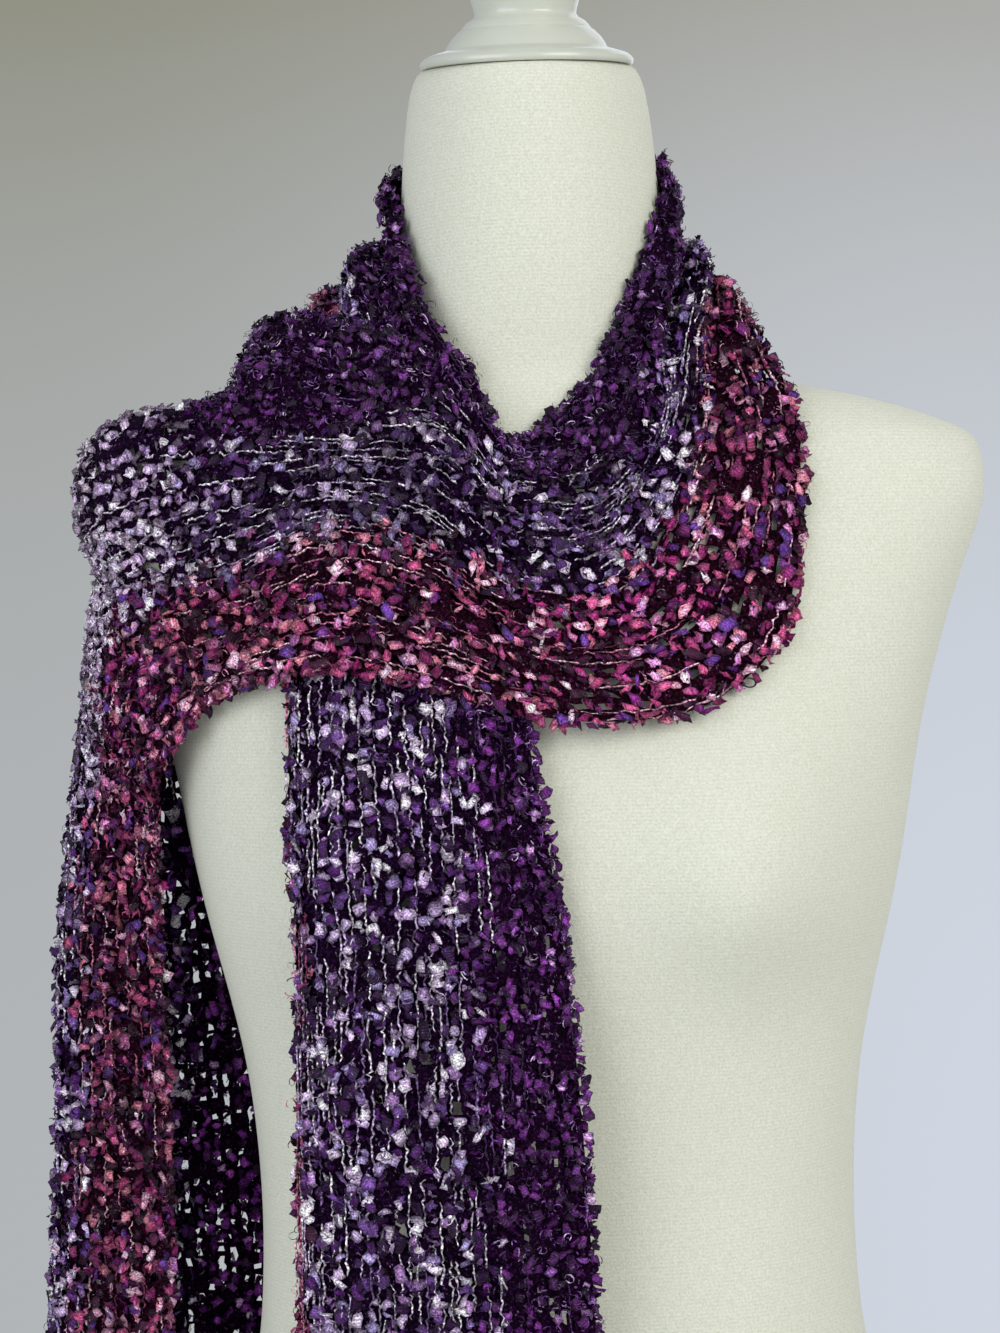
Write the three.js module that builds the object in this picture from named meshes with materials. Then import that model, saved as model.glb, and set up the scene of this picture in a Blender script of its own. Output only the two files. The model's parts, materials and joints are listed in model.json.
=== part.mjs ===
// Knit scarf, wound once round the neck of a limbless dress form, with the form and its stand.
// Millimetres, +Z up. The front faces -Y. The origin is the centre of the base's underside.
//
// The scarf is one long strip. It starts at the lower end of the front tail, goes up the chest
// and behind the neck, comes down on the other side, turns across the chest, covers one
// shoulder and ends in the side tail. Its plum edge is the upper one on the neck.

import * as THREE from "three";

// Cloth
const clothWall = 3;
const scarfWidth = 178;
const seamGap = 0.3;
const acrossSteps = 16;
const fineStep = 15;
const stretchSteps = { front_tail: 26, side_tail: 30, shoulder_cover: 7.5 };
const layerGap = 2;
const foldCount = 2.5;
const foldDepth = 8;
const foldDrift = 90;
const foldSway = 0.9;
const overlapNear = 9;
const overlapFar = 24;

// Colour zones across the strip, as shares of its width from the plum edge
const plumLine = 0.27;
const roseLine = 0.68;

// Where the wall goes from its middle's lift to its rose edge's, beside the rose line
const tuckStart = roseLine - 0.04;
const tuckEnd = roseLine + 0.16;

// Form and stand
const formSegments = 44;
const formBottom = 150;
const formTop = 876;
const ringGap = 24;
const neckTopY = -14.5;
const neckLean = THREE.MathUtils.degToRad(6.5);
const leanStart = 845;
const baseRadius = 150;
const collarTop = 42;
const poleRadius = 16;
const flangeRadius = 44;
const flangeEdge = 8;
const flangeDepth = 12;
const roundSegments = 40;

const bust = { x: 82, z: 522, height: 28, spreadX: 46, spreadUp: 58, spreadDown: 40, fade: 40 };

// Level cuts through the form: height, half width, reach to the front, reach to the back,
// and the power of the rounded outline, 2 for an ellipse and more for a squarer one.
const formCuts = [
  [150, 160, 97, 105, 2.3],
  [156, 165, 101, 110, 2.3],
  [180, 167, 104, 118, 2.3],
  [215, 164.5, 106, 123, 2.3],
  [250, 155.5, 107, 120, 2.3],
  [285, 143.5, 105, 109, 2.3],
  [320, 133.5, 101, 98, 2.3],
  [350, 130.5, 98, 91, 2.3],
  [385, 129.8, 95, 87, 2.3],
  [420, 131.8, 95, 86, 2.3],
  [450, 135.8, 97, 88, 2.3],
  [480, 142.5, 99, 91, 2.3],
  [510, 150, 100, 94, 2.35],
  [540, 156.3, 100, 97, 2.4],
  [575, 162.3, 97, 100, 2.5],
  [605, 169, 92, 101, 2.6],
  [635, 178, 85, 99, 2.7],
  [660, 186.8, 78, 95, 2.8],
  [685, 196, 71, 89, 2.8],
  [700, 196, 66, 84, 2.7],
  [710, 193.4, 62, 80, 2.6],
  [715, 187.5, 60, 78, 2.5],
  [720, 174.5, 58, 76, 2.4],
  [726, 158.5, 56, 73, 2.3],
  [732, 135, 54, 70, 2.2],
  [737, 109.5, 52, 67, 2.1],
  [742, 88, 50, 64, 2.05],
  [748, 73, 50, 61, 2],
  [756, 65, 51, 58, 2],
  [768, 60.5, 53, 54, 2],
  [785, 58, 56, 50, 2],
  [815, 57.2, 60, 45, 2],
  [845, 55, 62.5, 40, 2],
  [862, 52.8, 63, 36.5, 2],
  [870, 51, 62.5, 34.5, 2],
  [876, 47.6, 60, 31, 2],
].map(([z, half, front, back, square]) => ({ z, half, front, back, square }));

// Rows across the strip: stretch, plum edge, plum line, rose line, rose edge, and how far the
// middle of the wall lies off the form at least, on the plum side and at the rose edge.
const scarfRows = [
  ["front_tail", [14, -121, 185], [-31, -128, 185], [-103, -122, 185], [-72, -113, 185], 9, 2.6],
  ["front_tail", [14, -121, 260], [-30, -129, 260], [-104, -122, 260], [-73, -113, 260], 9, 2.6],
  ["front_tail", [12, -122, 345], [-30, -130, 345], [-105, -123, 345], [-74, -114, 345], 9, 2.6],
  ["front_tail", [8.5, -120, 440], [-32, -130, 440], [-105, -124, 440], [-75, -116, 440], 9, 3.2],
  ["front_tail", [2, -111, 520], [-34, -125, 521], [-104, -117, 522], [-78, -110, 522], 9, 3.2],
  ["front_tail", [-8, -103, 587], [-37, -106, 588], [-106, -98, 590], [-83, -90, 590], 9, 3.2],
  ["front_tail", [-11, -84, 643], [-38, -84, 645], [-103, -76, 650], [-92, -70, 652], 5, 2.6],
  ["neck_left", [-14, -72, 687], [-41, -70, 691], [-96, -62, 697], [-110, -56, 700], 2.6, 2.6],
  ["neck_left", [-25, -59, 733], [-51, -56, 740], [-87, -45, 747], [-105, -36, 743], 2.6, 2.6],
  ["neck_left", [-46, -45, 769], [-64, -36, 775], [-84, -16, 779], [-95, 2, 767], 2.6, 2.6],
  ["neck_left", [-58, -6, 827], [-64, -3, 805], [-83, 10, 787], [-96, 22, 765], 2.6, 2.6],
  ["neck_back", [-44, 33, 834], [-53, 46, 806], [-69, 62, 773], [-78, 76, 738], 2.6, 2.6],
  ["neck_back", [0, 46, 842], [0, 58, 807], [0, 76, 755], [0, 86, 712], 2.6, 2.6],
  ["neck_back", [44, 33, 841], [54, 46, 811], [70, 60, 777], [80, 70, 742], 2.6, 2.6],
  ["neck_right", [57, -6, 832], [61, 1, 805], [75, 6, 789], [84, 7, 773], 2.6, 2.6],
  ["neck_right", [50, -34, 797], [62, -25, 787], [76, -14, 782], [86, -7, 770], 2.6, 2.6],
  ["neck_right", [32, -54, 752], [50, -53, 748], [71, -43, 750], [95, -26, 751], 3.6, 3.6],
  ["neck_right", [25, -57, 738], [47, -60, 727], [71, -60, 723], [108, -51, 721], 3.6, 3.6],
  ["chest_turn", [9, -61, 723], [36, -69, 703], [63, -71, 693], [108, -68, 680], 2.6, 2.6],
  ["chest_turn", [-1, -65, 713], [20, -74, 690], [45, -82, 660], [102, -80, 639], 2.6, 2.6],
  ["chest_turn", [-8, -66, 710], [8, -75, 689], [30, -87, 646], [91, -88, 616], 3.5, 2.6],
  ["chest_turn", [-12, -68, 709], [-3, -76, 690], [10, -90, 642], [61, -101, 596], 6, 3.5],
  ["chest_turn", [-16, -71, 711], [-15, -79, 694], [-10, -94, 645], [23, -107, 592], 8, 7],
  ["chest_band", [-27, -72, 723], [-28, -78, 711], [-29, -94, 656], [-12, -109, 597], 9, 9],
  ["chest_band", [-45, -62, 748], [-45, -72, 727], [-47, -88, 669], [-44, -105, 608], 9, 9],
  ["chest_band", [-80, -44, 762], [-84, -66, 727], [-88, -82, 679], [-84, -98, 617], 9, 9],
  ["chest_band", [-106, -6, 772], [-115, -50, 740], [-124, -76, 664], [-120, -86, 613], 9, 6],
  ["chest_band", [-121, 3, 768], [-126, -41, 739], [-138, -70, 661], [-130, -81, 610], 7, 4],
  ["shoulder_cover", [-131, 46, 731], [-139, -4, 731], [-155, -64, 656], [-140, -76, 606], 3, 2.6],
  ["shoulder_cover", [-156, 62, 718], [-167, 8, 719], [-178, -46, 650], [-155, -67, 591], 5, 2.6],
  ["shoulder_cover", [-165, 84, 679], [-185, 42, 689], [-193, -24, 634], [-166, -54, 575], 4.4, 2.6],
  ["side_tail", [-142, 99, 600], [-182, 70, 602], [-203, 2, 592], [-169, -38, 552], 4, 4],
  ["side_tail", [-131, 104, 500], [-176, 79, 500], [-216, 11, 500], [-170, -24, 488], 4, 4],
  ["side_tail", [-127, 106, 400], [-174, 83, 400], [-221, 17, 400], [-170, -17, 395], 4, 4],
  ["side_tail", [-126, 108, 300], [-173, 84, 300], [-227, 19, 300], [-173, -15, 300], 4, 4],
  ["side_tail", [-126, 109, 200], [-173, 85, 200], [-229, 19, 200], [-178, -15, 200], 4, 4],
].map(([stretch, plum, inner, outer, rose, lift, edgeLift]) => ({
  stretch,
  across: [plum, inner, outer, rose].map((point) => new THREE.Vector3(...point)),
  lift,
  edgeLift,
}));

const stretches = [...new Set(scarfRows.map((row) => row.stretch))];
const acrossStations = [0, plumLine, roseLine, 1];

function standardMaterial(color, roughness, metalness = 0) {
  return new THREE.MeshStandardMaterial({ color, roughness, metalness });
}

const plumKnit = standardMaterial(0x3a1a4e, 0.9);
const jersey = standardMaterial(0xdcdec8, 0.85);
const whitePaint = standardMaterial(0xe9ebe2, 0.35);

// The span of uneven stations that a place falls in, and the four weights of a smooth curve there.
function curveWeights(stations, at) {
  let i = 0;
  while (i < stations.length - 2 && at > stations[i + 1]) i += 1;
  const span = stations[i + 1] - stations[i];
  const t = (at - stations[i]) / span;
  return {
    i,
    span,
    start: 2 * t ** 3 - 3 * t ** 2 + 1,
    startSlope: t ** 3 - 2 * t ** 2 + t,
    end: 3 * t ** 2 - 2 * t ** 3,
    endSlope: t ** 3 - t ** 2,
  };
}

function curveValue(stations, values, at) {
  const w = curveWeights(stations, at);
  const slope = (k) => {
    const from = Math.max(0, k - 1);
    const to = Math.min(stations.length - 1, k + 1);
    return (values[to] - values[from]) / (stations[to] - stations[from]);
  };
  const ends = w.start * values[w.i] + w.end * values[w.i + 1];
  return ends + w.span * (w.startSlope * slope(w.i) + w.endSlope * slope(w.i + 1));
}

function curvePoint(stations, points, at) {
  return new THREE.Vector3(
    curveValue(stations, points.map((point) => point.x), at),
    curveValue(stations, points.map((point) => point.y), at),
    curveValue(stations, points.map((point) => point.z), at),
  );
}

const cutHeights = formCuts.map((cut) => cut.z);
const cutCurves = ["half", "front", "back", "square"].map((name) => formCuts.map((cut) => cut[name]));

function formCut(z) {
  const height = Math.min(formTop, Math.max(formBottom, z));
  const [half, front, back, square] = cutCurves.map((curve) => curveValue(cutHeights, curve, height));
  return { half, front, back, square };
}

// How far the bust stands out at a place on the front.
function bustRise(x, z) {
  const spread = z > bust.z ? bust.spreadUp : bust.spreadDown;
  const mound = (side) => {
    return Math.exp(-(((x - side * bust.x) / bust.spreadX) ** 2) - ((z - bust.z) / spread) ** 2);
  };
  return bust.height * (mound(1) + mound(-1));
}

function bustShare(y) {
  return y < 0 ? Math.min(1, -y / bust.fade) : 0;
}

// Nought on the form's surface, more outside it.
function formLevel({ x, y, z }) {
  const cut = formCut(z);
  const flat = y < 0 ? Math.min(0, y + bustRise(x, z) * bustShare(y)) : y;
  const reach = flat < 0 ? cut.front : cut.back;
  const sum = (Math.abs(x) / cut.half) ** cut.square + (Math.abs(flat) / reach) ** cut.square;
  return sum ** (1 / cut.square) - 1;
}

function formSlope(point) {
  const reach = 0.5;
  const step = (axis) => {
    const ahead = formLevel(point.clone().addScaledVector(axis, reach));
    const behind = formLevel(point.clone().addScaledVector(axis, -reach));
    return (ahead - behind) / (2 * reach);
  };
  return new THREE.Vector3(
    step(new THREE.Vector3(1, 0, 0)),
    step(new THREE.Vector3(0, 1, 0)),
    step(new THREE.Vector3(0, 0, 1)),
  );
}

// Moves a point straight out until it is at least this far off the form.
function liftOffForm(point, lift) {
  const turns = 8;
  const nearEnough = 0.01;
  for (let turn = 0; turn < turns; turn += 1) {
    const slope = formSlope(point);
    const distance = formLevel(point) / slope.length();
    if (distance >= lift - nearEnough) return point;
    point.addScaledVector(slope.normalize(), lift - distance);
  }
  return point;
}

// Stations along the strip, measured on its middle.
const rowStations = scarfRows.map(() => 0);
scarfRows.forEach((row, k) => {
  if (k === 0) return;
  const middle = (r) => r.across[1].clone().add(r.across[2]).multiplyScalar(0.5);
  rowStations[k] = rowStations[k - 1] + middle(row).distanceTo(middle(scarfRows[k - 1]));
});
const acrossCurves = acrossStations.map((station, k) => scarfRows.map((row) => row.across[k]));

function smoothPoint(along, across) {
  const points = acrossCurves.map((curve) => curvePoint(rowStations, curve, along));
  return curvePoint(acrossStations, points, across);
}

// Where the strip is drawn together, its spare width stands in soft lengthwise folds.
function foldHeight(along, across) {
  const points = acrossCurves.map((curve) => curvePoint(rowStations, curve, along));
  const width = [0, 1, 2].reduce((sum, k) => sum + points[k].distanceTo(points[k + 1]), 0);
  const spare = Math.max(0, 1 - width / scarfWidth);
  const drift = foldSway * Math.sin(along / foldDrift);
  return foldDepth * spare * Math.sin(2 * Math.PI * foldCount * across + drift);
}

function scarfPoint(along, across) {
  const point = smoothPoint(along, across);
  const reach = 1;
  const side = 0.01;
  const up = smoothPoint(along + reach, across).sub(smoothPoint(along - reach, across));
  const over = smoothPoint(along, across + side).sub(smoothPoint(along, across - side));
  point.addScaledVector(up.cross(over).normalize(), foldHeight(along, across));
  const lift = curveValue(rowStations, scarfRows.map((row) => row.lift), along);
  const edgeLift = curveValue(rowStations, scarfRows.map((row) => row.edgeLift), along);
  const tuck = THREE.MathUtils.smoothstep(across, tuckStart, tuckEnd);
  return liftOffForm(point, THREE.MathUtils.lerp(lift, edgeLift, tuck));
}

// Places and outward normals on the middle of the wall, a line of them for each step along.
function scarfGrid(from, to, step, pointAt) {
  const count = Math.max(2, Math.ceil((to - from) / step));
  const reach = 4;
  const side = 0.5 / acrossSteps;
  const grid = [];
  for (let i = 0; i <= count; i += 1) {
    const along = from + ((to - from) * i) / count;
    const line = [];
    for (let j = 0; j <= acrossSteps; j += 1) {
      const across = j / acrossSteps;
      const up = pointAt(along + reach, across).sub(pointAt(along - reach, across));
      const low = Math.max(0, across - side);
      const high = Math.min(1, across + side);
      const over = pointAt(along, high).sub(pointAt(along, low));
      line.push({ point: pointAt(along, across), normal: up.cross(over).normalize() });
    }
    grid.push(line);
  }
  return grid;
}

// A closed wall round a grid of points on its middle.
function wallGeometry(grid, wall) {
  const rows = grid.length;
  const columns = grid[0].length;
  const positions = [];
  for (const side of [1, -1]) {
    for (const { point, normal } of grid.flat()) {
      const vertex = point.clone().addScaledVector(normal, (side * wall) / 2);
      positions.push(vertex.x, vertex.y, vertex.z);
    }
  }
  const outer = (i, j) => i * columns + j;
  const inner = (i, j) => rows * columns + outer(i, j);
  const index = [];
  const quad = (a, b, c, d) => index.push(a, b, c, a, c, d);
  for (let i = 0; i < rows - 1; i += 1) {
    for (let j = 0; j < columns - 1; j += 1) {
      quad(outer(i, j), outer(i + 1, j), outer(i + 1, j + 1), outer(i, j + 1));
      quad(inner(i, j), inner(i, j + 1), inner(i + 1, j + 1), inner(i + 1, j));
    }
    quad(outer(i, 0), inner(i, 0), inner(i + 1, 0), outer(i + 1, 0));
    const last = columns - 1;
    quad(outer(i, last), outer(i + 1, last), inner(i + 1, last), inner(i, last));
  }
  for (let j = 0; j < columns - 1; j += 1) {
    quad(outer(0, j), outer(0, j + 1), inner(0, j + 1), inner(0, j));
    const last = rows - 1;
    quad(outer(last, j), inner(last, j), inner(last, j + 1), outer(last, j + 1));
  }
  const geometry = new THREE.BufferGeometry();
  geometry.setAttribute("position", new THREE.Float32BufferAttribute(positions, 3));
  geometry.setIndex(index);
  geometry.computeVertexNormals();
  return geometry;
}

// The neck's top leans: its front is lower than its back.
function leaningHeight(y, z) {
  const share = THREE.MathUtils.smoothstep(z, leanStart, formTop);
  return z + share * Math.tan(neckLean) * (y - neckTopY);
}

// Rings joined into one closed body with a flat end below and above.
function formGeometry() {
  const heights = [];
  cutHeights.forEach((z, k) => {
    heights.push(z);
    const next = cutHeights[k + 1];
    if (next - z > ringGap) heights.push((z + next) / 2);
  });
  const rounded = (value, power) => Math.sign(value) * Math.abs(value) ** (2 / power);
  const positions = [];
  for (const z of heights) {
    const cut = formCut(z);
    for (let k = 0; k < formSegments; k += 1) {
      const angle = (2 * Math.PI * k) / formSegments;
      const x = cut.half * rounded(Math.cos(angle), cut.square);
      const reach = Math.sin(angle) < 0 ? cut.front : cut.back;
      const flat = reach * rounded(Math.sin(angle), cut.square);
      const y = flat - bustRise(x, z) * bustShare(flat);
      positions.push(x, y, leaningHeight(y, z));
    }
  }
  const index = [];
  const rings = heights.length;
  const vertex = (ring, k) => ring * formSegments + (k % formSegments);
  for (let ring = 0; ring < rings - 1; ring += 1) {
    for (let k = 0; k < formSegments; k += 1) {
      index.push(vertex(ring, k), vertex(ring, k + 1), vertex(ring + 1, k + 1));
      index.push(vertex(ring, k), vertex(ring + 1, k + 1), vertex(ring + 1, k));
    }
  }
  const bottomCentre = positions.length / 3;
  positions.push(0, 0, formBottom, 0, neckTopY, formTop);
  for (let k = 0; k < formSegments; k += 1) {
    index.push(bottomCentre, vertex(0, k + 1), vertex(0, k));
    index.push(bottomCentre + 1, vertex(rings - 1, k), vertex(rings - 1, k + 1));
  }
  const geometry = new THREE.BufferGeometry();
  geometry.setAttribute("position", new THREE.Float32BufferAttribute(positions, 3));
  geometry.setIndex(index);
  geometry.computeVertexNormals();
  return geometry;
}

// A turned piece: radius and height pairs from its lowest point on the axis to its highest.
function turned(profile) {
  const outline = profile.map(([radius, height]) => new THREE.Vector2(radius, height));
  const geometry = new THREE.LatheGeometry(outline, roundSegments);
  geometry.rotateX(Math.PI / 2);
  return geometry;
}

// A foot ring, a bell with a step round it, a waist and a knob, square to the leaning neck.
function neckCap() {
  const geometry = turned([
    [0, seamGap],
    [45.8, seamGap],
    [46.6, 1.6],
    [46.4, 3.2],
    [44, 5.2],
    [39, 6.8],
    [35.4, 7.8],
    [34.6, 9.8],
    [32.8, 12.6],
    [29.8, 15.6],
    [28.4, 16.4],
    [28, 17.4],
    [26, 19.6],
    [22.9, 21.4],
    [22.4, 24.8],
    [23.8, 30],
    [28, 38],
    [29.5, 47],
    [27, 58],
    [20, 67],
    [10, 72.5],
    [0, 74],
  ]);
  geometry.rotateX(neckLean);
  geometry.translate(0, neckTopY, formTop);
  return geometry;
}

function pole() {
  const top = formBottom - seamGap;
  return turned([
    [0, collarTop + seamGap],
    [poleRadius, collarTop + seamGap],
    [poleRadius, top - flangeDepth],
    [flangeRadius, top - flangeEdge],
    [flangeRadius, top],
    [0, top],
  ]);
}

function base() {
  return turned([
    [0, 0],
    [baseRadius - 4, 0],
    [baseRadius, 4],
    [baseRadius, 9],
    [baseRadius - 5, 14],
    [baseRadius - 30, 17],
    [60, 22],
    [32, 27],
    [26, 34],
    [25, collarTop],
    [0, collarTop],
  ]);
}

// The layer that the chest band crosses: the front tail and the stretch beside the neck.
const stretchStart = (name) => rowStations[scarfRows.findIndex((row) => row.stretch === name)];
const underlay = scarfGrid(0, stretchStart("neck_back"), fineStep, scarfPoint).flat();
const facingOut = underlay.filter(({ point, normal }) => normal.dot(formSlope(point)) > 0);

// Moves a point of the crossing layer out until it clears the one beneath.
function clearOfUnderlay(point) {
  let nearest = facingOut[0];
  for (const spot of facingOut) {
    if (spot.point.distanceToSquared(point) < nearest.point.distanceToSquared(point)) nearest = spot;
  }
  const gap = point.clone().sub(nearest.point);
  const height = gap.dot(nearest.normal);
  const beside = gap.addScaledVector(nearest.normal, -height).length();
  const share = 1 - THREE.MathUtils.smoothstep(beside, overlapNear, overlapFar);
  const rise = Math.max(0, clothWall + layerGap - Math.max(0, height)) * share;
  return point.addScaledVector(nearest.normal, rise);
}

const crossingStart = stretchStart("chest_turn");
const crossingEnd = stretchStart("shoulder_cover");

function wornPoint(along, across) {
  const point = scarfPoint(along, across);
  const crosses = along > crossingStart && along < crossingEnd + 2 * fineStep;
  return crosses ? clearOfUnderlay(point) : point;
}

// The stretches of the scarf, each parted from the next by the seam gap.
function scarfStretch(name) {
  const first = scarfRows.findIndex((row) => row.stretch === name);
  const next = scarfRows.findIndex((row, k) => k > first && row.stretch !== name);
  const isFirst = first === 0;
  const isLast = next < 0;
  const from = rowStations[first] + (isFirst ? 0 : seamGap / 2);
  const to = isLast ? rowStations[rowStations.length - 1] : rowStations[next] - seamGap / 2;
  return scarfGrid(from, to, stretchSteps[name] ?? fineStep, wornPoint);
}

const object = new THREE.Group();

function place(name, geometry, material) {
  const mesh = new THREE.Mesh(geometry, material);
  mesh.name = name;
  object.add(mesh);
}

place("form_torso", formGeometry(), jersey);
place("form_cap", neckCap(), whitePaint);
place("stand_pole", pole(), whitePaint);
place("stand_base", base(), whitePaint);

for (const name of stretches) {
  place(`scarf_${name}`, wallGeometry(scarfStretch(name), clothWall), plumKnit);
}

export default object;
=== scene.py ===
import json
import math

import bpy
import numpy as np
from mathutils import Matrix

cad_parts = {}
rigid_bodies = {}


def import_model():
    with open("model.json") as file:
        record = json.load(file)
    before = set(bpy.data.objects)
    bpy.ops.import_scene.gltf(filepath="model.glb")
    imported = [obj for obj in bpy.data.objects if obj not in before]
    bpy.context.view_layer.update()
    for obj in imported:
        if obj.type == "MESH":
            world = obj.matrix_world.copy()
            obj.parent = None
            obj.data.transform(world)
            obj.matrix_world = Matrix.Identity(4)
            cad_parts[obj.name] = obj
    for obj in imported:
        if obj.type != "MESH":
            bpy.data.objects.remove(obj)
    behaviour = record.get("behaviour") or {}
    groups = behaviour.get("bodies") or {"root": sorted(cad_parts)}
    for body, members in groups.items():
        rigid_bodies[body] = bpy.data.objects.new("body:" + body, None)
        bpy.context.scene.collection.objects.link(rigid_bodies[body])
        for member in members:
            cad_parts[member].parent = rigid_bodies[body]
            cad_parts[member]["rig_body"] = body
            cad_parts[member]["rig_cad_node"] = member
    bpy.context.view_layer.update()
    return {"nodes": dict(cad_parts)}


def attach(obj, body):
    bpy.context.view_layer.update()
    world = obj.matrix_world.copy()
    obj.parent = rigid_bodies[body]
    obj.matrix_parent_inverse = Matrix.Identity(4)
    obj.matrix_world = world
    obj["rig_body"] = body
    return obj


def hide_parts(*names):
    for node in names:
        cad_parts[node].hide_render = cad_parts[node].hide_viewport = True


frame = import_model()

# Flag yarn scarf, wound round the neck of a jersey covered dress form.
# The frame is in metres, +Z up, with the form's front towards -Y.
# The scarf's own tables are in millimetres, as a knitter measures them.

mm = 0.001
weld = 0.01 * mm  # points nearer than this are made one


def linear(hexColour):
    parts = [int(hexColour[i:i + 2], 16) / 255 for i in (1, 3, 5)]
    return [part / 12.92 if part <= 0.04045 else ((part + 0.055) / 1.055) ** 2.4 for part in parts] + [1]


def setInputs(tree, node, inputs):
    for socket, value in inputs.items():
        if isinstance(value, bpy.types.NodeSocket):
            tree.links.new(value, node.inputs[socket])
        else:
            node.inputs[socket].default_value = linear(value) if isinstance(value, str) else value


def addNode(tree, kind, inputs=None, **settings):
    made = tree.nodes.new("ShaderNode" + kind)
    for name, value in settings.items():
        setattr(made, name, value)
    setInputs(tree, made, inputs or {})
    return made


def mixTones(tree, share, low, high):
    return addNode(tree, "Mix", {0: share, 6: low, 7: high}, data_type="RGBA").outputs[2]


def placeOf(tree):
    return addNode(tree, "TexCoord").outputs["Object"]


def noise(tree, scale, detail=2, roughness=0.5):
    inputs = {0: placeOf(tree), "Scale": scale, "Detail": detail, "Roughness": roughness}
    return addNode(tree, "TexNoise", inputs).outputs[0]


def ranged(tree, value, fromLow, fromHigh, low=0, high=1, **settings):
    inputs = {0: value, 1: fromLow, 2: fromHigh, 3: low, 4: high}
    return addNode(tree, "MapRange", inputs, **settings).outputs[0]


def relief(tree, height, strength, depth):
    inputs = {"Height": height, "Strength": strength, "Distance": depth * mm}
    return addNode(tree, "Bump", inputs).outputs[0]


# The piece's own colours, lighter or darker by a factor
def tinted(tree, factor):
    tint = addNode(tree, "Attribute", attribute_name="tint").outputs["Color"]
    return addNode(tree, "VectorMath", {0: tint, "Scale": factor}, operation="SCALE").outputs[0]


def newMaterial(name):
    material = bpy.data.materials.new(name)
    material.use_nodes = True
    tree = material.node_tree
    return material, tree, tree.nodes["Principled BSDF"]


print("stage: camera, floor and light")

# The picture's middle looks at the chest. The form leans a little to the left in it.
camera = {
    "distance": 1.4,
    "aside": -0.0189,
    "height": 0.616,
    "pictureHeight": 0.5865,  # what the frame takes in, top to bottom, at the form's middle
    "sensor": 36,
    "roll": 1.6,
}

bpy.ops.object.select_all(action="DESELECT")
bpy.ops.object.camera_add(
    location=(camera["aside"], -camera["distance"], camera["height"]),
    rotation=(math.radians(90), math.radians(camera["roll"]), 0),
)
viewer = bpy.context.object
viewer.name = "viewer"
viewer.data.sensor_width = camera["sensor"]
viewer.data.lens = camera["sensor"] * camera["distance"] / camera["pictureHeight"]
bpy.context.scene.camera = viewer

studio = {
    "key": {"place": (1.5, -1.9, 1.55), "size": 1.7, "power": 36, "colour": "#fffdf8"},
    "fill": {"place": (-1.6, -1.7, 1.0), "size": 1.8, "power": 25, "colour": "#f6f8ff"},
    "back": {"place": (0.6, 1.7, 1.5), "size": 1.6, "power": 5, "colour": "#eef3ff"},
    "aim": (0, 0, 0.6),
    "skyLight": "#e6e9ee",
    "skyPower": 0.54,
    "topLeft": "#929285",
    "topRight": "#a9a9a4",
    "lowLeft": "#b1b5b8",
    "lowRight": "#cfd6e1",
    "topFade": 2.8,  # the top's darker tone keeps to the upper part
    "spreadX": 0.155,  # the wall's tone turns over this much of the view direction
    "spreadZ": 0.205,
    "floorRadius": 1.4,
    "floorSides": 96,
    "floorDrop": 0.0006,
}


def addLamp(name, lamp):
    bpy.ops.object.light_add(type="AREA", location=lamp["place"])
    light = bpy.context.object
    light.name = name
    light.data.shape = "SQUARE"
    light.data.size = lamp["size"]
    light.data.energy = lamp["power"]
    light.data.color = linear(lamp["colour"])[:3]
    towards = np.array(studio["aim"]) - np.array(lamp["place"])
    flat = math.hypot(towards[0], towards[1])
    light.rotation_euler = (math.atan2(flat, -towards[2]), 0, math.atan2(-towards[0], towards[1]))


for lampName in ("key", "fill", "back"):
    addLamp(lampName, studio[lampName])

# A plain wall, seen only by the camera, with painted light and shade in its tone: greyer and darker at the
# upper left, bluer and lighter at the lower right
world = bpy.data.worlds.new("studio")
world.use_nodes = True
bpy.context.scene.world = world
sky = world.node_tree
sky.nodes.clear()
towards = addNode(sky, "TexCoord")
parts = addNode(sky, "SeparateXYZ", {0: towards.outputs["Generated"]})
spreadX, spreadZ = studio["spreadX"], studio["spreadZ"]
sideways = ranged(sky, parts.outputs[0], -spreadX, spreadX, interpolation_type="SMOOTHSTEP")
upwards = ranged(sky, parts.outputs[2], -spreadZ, spreadZ)
higher = addNode(sky, "Math", {0: upwards, 1: studio["topFade"]}, operation="POWER")
lowTone = mixTones(sky, sideways, studio["lowLeft"], studio["lowRight"])
topTone = mixTones(sky, sideways, studio["topLeft"], studio["topRight"])
wall = addNode(sky, "Background", {0: mixTones(sky, higher.outputs[0], lowTone, topTone), 1: 1})
glow = addNode(sky, "Background", {0: studio["skyLight"], 1: studio["skyPower"]})
rays = addNode(sky, "LightPath")
chosen = addNode(sky, "MixShader", {
    0: rays.outputs["Is Camera Ray"], 1: glow.outputs[0], 2: wall.outputs[0],
})
addNode(sky, "OutputWorld", {0: chosen.outputs[0]})
bpy.context.scene.view_settings.view_transform = "Standard"

# Matt laminate: pale, hardly any gloss
laminate, tree, shader = newMaterial("matt laminate floor")
grain = noise(tree, 40, 4)
setInputs(tree, shader, {"Base Color": mixTones(tree, grain, "#c9cbca", "#d2d4d4"), "Roughness": 0.7})

bpy.ops.object.select_all(action="DESELECT")
bpy.ops.mesh.primitive_circle_add(
    vertices=studio["floorSides"], radius=studio["floorRadius"], fill_type="NGON",
    location=(0, 0, -studio["floorDrop"]),
)
ground = bpy.context.object
ground.name = "floor"
bpy.ops.object.transform_apply(location=True)
ground.data.materials.append(laminate)


print("stage: the dress form")
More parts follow.
